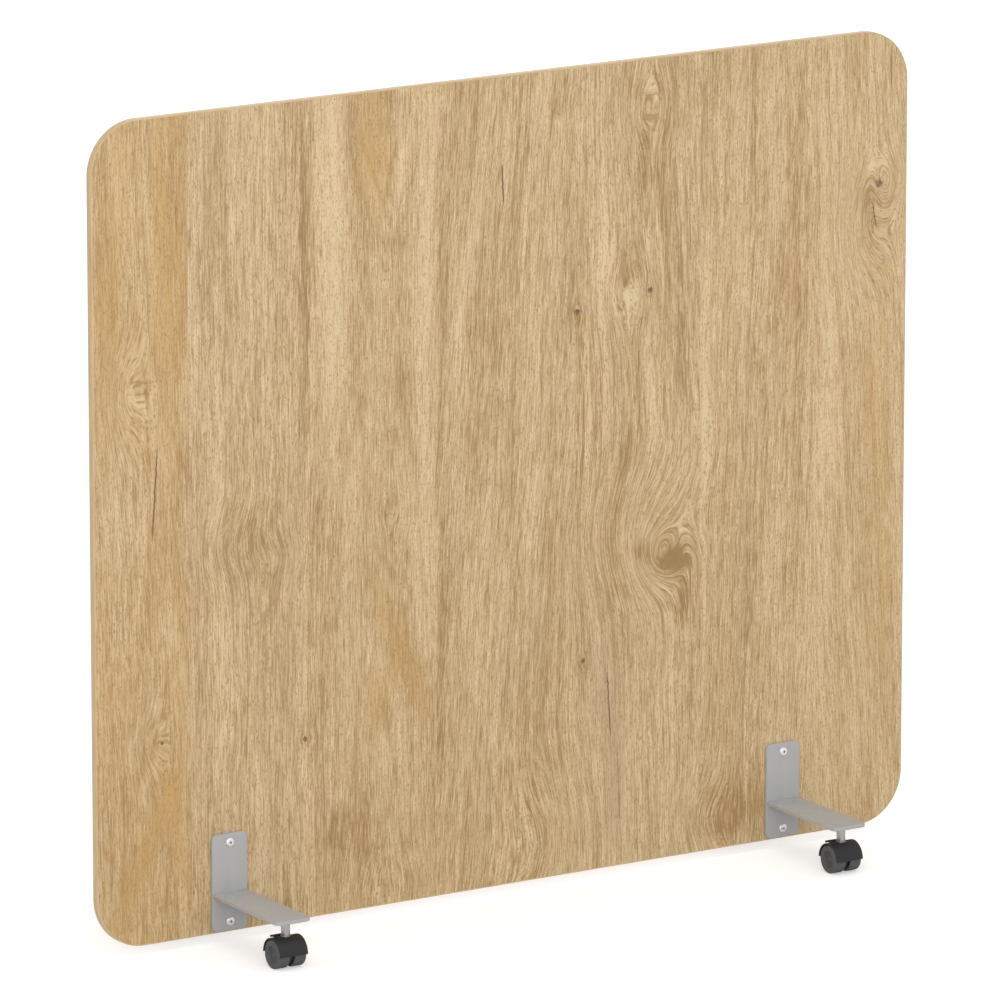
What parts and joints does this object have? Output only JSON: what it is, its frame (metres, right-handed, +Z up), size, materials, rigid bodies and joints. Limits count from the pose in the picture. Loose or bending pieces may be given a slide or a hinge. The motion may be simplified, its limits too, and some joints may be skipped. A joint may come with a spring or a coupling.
{
  "type": "rolling partition",
  "caption": "Free-standing wood-effect screen board on welded steel feet, each foot carried by a swivelling twin-wheel caster with a brake pedal.",
  "frame": {"origin": "on the floor, under the middle of the board", "axes": "+Z up, X along the board with +X to the right when seen from the side with the bolt heads, and -Y towards that side"},
  "size_m": [1.35, 0.37, 1.184],
  "materials": {
    "oak_laminate": "matt oak-effect laminate with vertical grain",
    "oak_edge": "matt oak-effect edge band",
    "fibreboard": "raw fibreboard, hidden",
    "painted_steel": "satin light grey powder coat",
    "zinc_steel": "bright zinc plate",
    "spring_steel": "plain spring steel, hidden",
    "dark_nylon": "dark grey moulded nylon, fine satin",
    "wheel_nylon": "mid grey moulded nylon, matt"
  },
  "bodies": {
    "partition": {"board_core": "fibreboard", "front_laminate": "oak_laminate", "rear_laminate": "oak_laminate", "edge_band": "oak_edge", "front_left_mount_plate": "painted_steel", "front_left_foot_plate": "painted_steel", "front_left_weld_bead": "painted_steel", "front_left_swivel_sleeve": "zinc_steel", "front_right_mount_plate": "painted_steel", "front_right_foot_plate": "painted_steel", "front_right_weld_bead": "painted_steel", "front_right_swivel_sleeve": "zinc_steel", "rear_left_mount_plate": "painted_steel", "rear_left_foot_plate": "painted_steel", "rear_left_weld_bead": "painted_steel", "rear_left_swivel_sleeve": "zinc_steel", "rear_right_mount_plate": "painted_steel", "rear_right_foot_plate": "painted_steel", "rear_right_weld_bead": "painted_steel", "rear_right_swivel_sleeve": "zinc_steel", "left_lower_bolt": "zinc_steel", "left_lower_sleeve_nut": "zinc_steel", "left_upper_bolt": "zinc_steel", "left_upper_sleeve_nut": "zinc_steel", "right_lower_bolt": "zinc_steel", "right_lower_sleeve_nut": "zinc_steel", "right_upper_bolt": "zinc_steel", "right_upper_sleeve_nut": "zinc_steel"},
    "front_left_caster": {"front_left_stem": "zinc_steel", "front_left_grip_ring": "spring_steel", "front_left_thrust_washer": "zinc_steel", "front_left_hood": "dark_nylon", "front_left_axle": "spring_steel"},
    "front_left_wheel_left": {"front_left_wheel_left": "wheel_nylon"},
    "front_left_wheel_right": {"front_left_wheel_right": "wheel_nylon"},
    "front_left_brake_pedal": {"front_left_brake_pedal": "dark_nylon"},
    "front_right_caster": {"front_right_stem": "zinc_steel", "front_right_grip_ring": "spring_steel", "front_right_thrust_washer": "zinc_steel", "front_right_hood": "dark_nylon", "front_right_axle": "spring_steel"},
    "front_right_wheel_left": {"front_right_wheel_left": "wheel_nylon"},
    "front_right_wheel_right": {"front_right_wheel_right": "wheel_nylon"},
    "front_right_brake_pedal": {"front_right_brake_pedal": "dark_nylon"},
    "rear_left_caster": {"rear_left_stem": "zinc_steel", "rear_left_grip_ring": "spring_steel", "rear_left_thrust_washer": "zinc_steel", "rear_left_hood": "dark_nylon", "rear_left_axle": "spring_steel"},
    "rear_left_wheel_left": {"rear_left_wheel_left": "wheel_nylon"},
    "rear_left_wheel_right": {"rear_left_wheel_right": "wheel_nylon"},
    "rear_left_brake_pedal": {"rear_left_brake_pedal": "dark_nylon"},
    "rear_right_caster": {"rear_right_stem": "zinc_steel", "rear_right_grip_ring": "spring_steel", "rear_right_thrust_washer": "zinc_steel", "rear_right_hood": "dark_nylon", "rear_right_axle": "spring_steel"},
    "rear_right_wheel_left": {"rear_right_wheel_left": "wheel_nylon"},
    "rear_right_wheel_right": {"rear_right_wheel_right": "wheel_nylon"},
    "rear_right_brake_pedal": {"rear_right_brake_pedal": "dark_nylon"}
  },
  "joints": [
    {"name": "front_left_swivel", "type": "hinge", "parent": "partition", "child": "front_left_caster", "pos_m": [-0.4645, -0.1605, 0.056], "axis": [0, 0, 1], "continuous": true},
    {"name": "front_left_wheel_left_spin", "type": "hinge", "parent": "front_left_caster", "child": "front_left_wheel_left", "pos_m": [-0.4775, -0.1605, 0.0205], "axis": [1, 0, 0], "continuous": true},
    {"name": "front_left_wheel_right_spin", "type": "hinge", "parent": "front_left_caster", "child": "front_left_wheel_right", "pos_m": [-0.4515, -0.1605, 0.0205], "axis": [1, 0, 0], "continuous": true},
    {"name": "front_left_brake", "type": "hinge", "parent": "front_left_caster", "child": "front_left_brake_pedal", "pos_m": [-0.4645, -0.14862, 0.04284], "axis": [1, 0, 0], "range_deg": [-7, 0]},
    {"name": "front_right_swivel", "type": "hinge", "parent": "partition", "child": "front_right_caster", "pos_m": [0.4645, -0.1605, 0.056], "axis": [0, 0, 1], "continuous": true},
    {"name": "front_right_wheel_left_spin", "type": "hinge", "parent": "front_right_caster", "child": "front_right_wheel_left", "pos_m": [0.4515, -0.1605, 0.0205], "axis": [1, 0, 0], "continuous": true},
    {"name": "front_right_wheel_right_spin", "type": "hinge", "parent": "front_right_caster", "child": "front_right_wheel_right", "pos_m": [0.4775, -0.1605, 0.0205], "axis": [1, 0, 0], "continuous": true},
    {"name": "front_right_brake", "type": "hinge", "parent": "front_right_caster", "child": "front_right_brake_pedal", "pos_m": [0.4645, -0.14862, 0.04284], "axis": [1, 0, 0], "range_deg": [-7, 0]},
    {"name": "rear_left_swivel", "type": "hinge", "parent": "partition", "child": "rear_left_caster", "pos_m": [-0.4645, 0.1605, 0.056], "axis": [0, 0, 1], "continuous": true},
    {"name": "rear_left_wheel_left_spin", "type": "hinge", "parent": "rear_left_caster", "child": "rear_left_wheel_left", "pos_m": [-0.4515, 0.1605, 0.0205], "axis": [1, 0, 0], "continuous": true},
    {"name": "rear_left_wheel_right_spin", "type": "hinge", "parent": "rear_left_caster", "child": "rear_left_wheel_right", "pos_m": [-0.4775, 0.1605, 0.0205], "axis": [1, 0, 0], "continuous": true},
    {"name": "rear_left_brake", "type": "hinge", "parent": "rear_left_caster", "child": "rear_left_brake_pedal", "pos_m": [-0.4645, 0.14862, 0.04284], "axis": [-1, 0, 0], "range_deg": [-7, 0]},
    {"name": "rear_right_swivel", "type": "hinge", "parent": "partition", "child": "rear_right_caster", "pos_m": [0.4645, 0.1605, 0.056], "axis": [0, 0, 1], "continuous": true},
    {"name": "rear_right_wheel_left_spin", "type": "hinge", "parent": "rear_right_caster", "child": "rear_right_wheel_left", "pos_m": [0.4775, 0.1605, 0.0205], "axis": [1, 0, 0], "continuous": true},
    {"name": "rear_right_wheel_right_spin", "type": "hinge", "parent": "rear_right_caster", "child": "rear_right_wheel_right", "pos_m": [0.4515, 0.1605, 0.0205], "axis": [1, 0, 0], "continuous": true},
    {"name": "rear_right_brake", "type": "hinge", "parent": "rear_right_caster", "child": "rear_right_brake_pedal", "pos_m": [0.4645, 0.14862, 0.04284], "axis": [-1, 0, 0], "range_deg": [-7, 0]}
  ]
}
